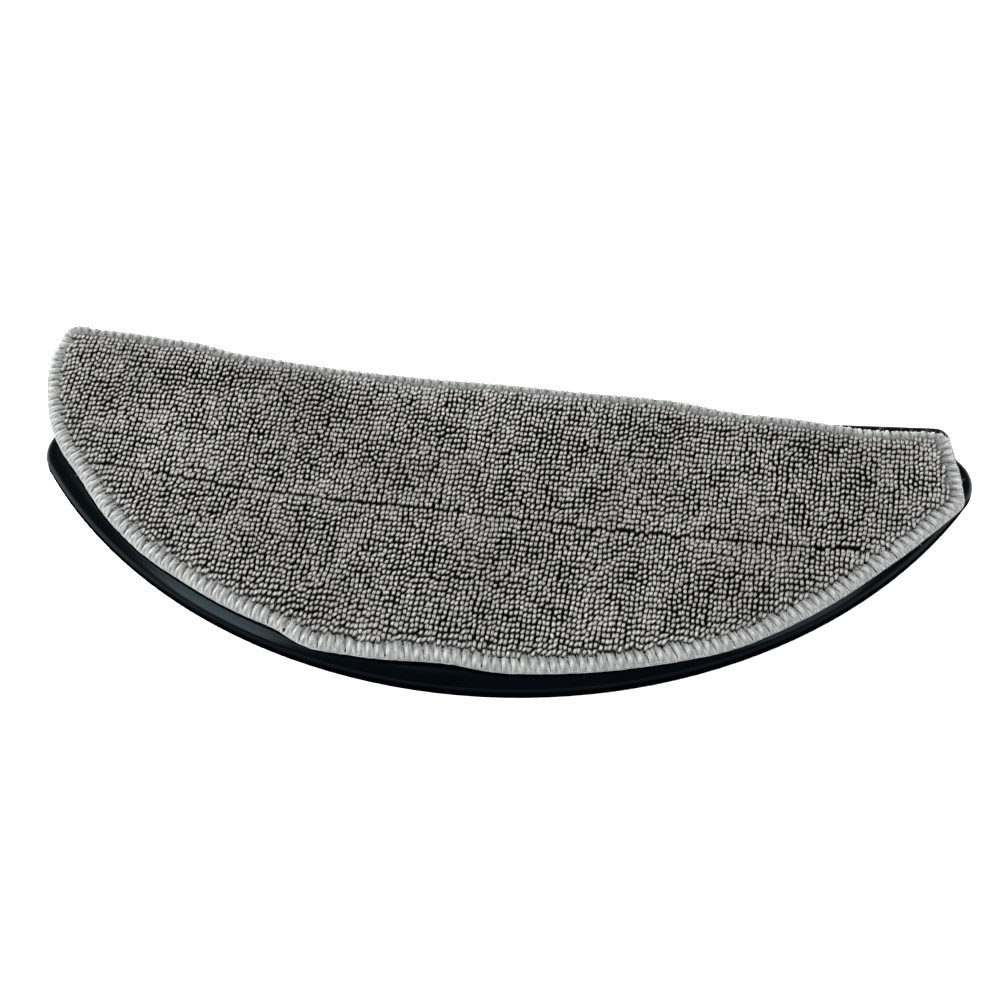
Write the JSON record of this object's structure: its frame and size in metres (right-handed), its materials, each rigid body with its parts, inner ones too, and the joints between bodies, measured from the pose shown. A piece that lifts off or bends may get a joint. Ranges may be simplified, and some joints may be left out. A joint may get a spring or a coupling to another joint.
{
  "type": "robot vacuum mop plate",
  "caption": "Half-moon moulded plate with a looped microfibre mop pad held by hook tape, for the underside of a robot vacuum.",
  "frame": {"origin": "centre of the round seat in the middle of the robot side, on the plate's middle line and on the plane that the plate lies on", "axes": "+X along the plate's length, +Y towards its straight back edge, +Z from the robot side towards the mop face"},
  "size_m": [0.2924, 0.1355, 0.0105],
  "materials": {
    "plate_plastic": "satin black injection-moulded plastic",
    "hook_tape": "black nylon hook tape, self-adhesive",
    "backing_knit": "grey loop-knit backing fabric",
    "microfibre_pile": "warm grey looped microfibre pile",
    "overlock_thread": "off-white fluffy overlock yarn"
  },
  "bodies": {
    "root": {"mop_plate": "plate_plastic", "hook_tape_front_left": "hook_tape", "hook_tape_front_middle": "hook_tape", "hook_tape_front_right": "hook_tape", "hook_tape_back_left": "hook_tape", "hook_tape_back_right": "hook_tape", "mop_backing": "backing_knit", "mop_face_cloth": "microfibre_pile", "edge_stitching": "overlock_thread"}
  },
  "joints": []
}
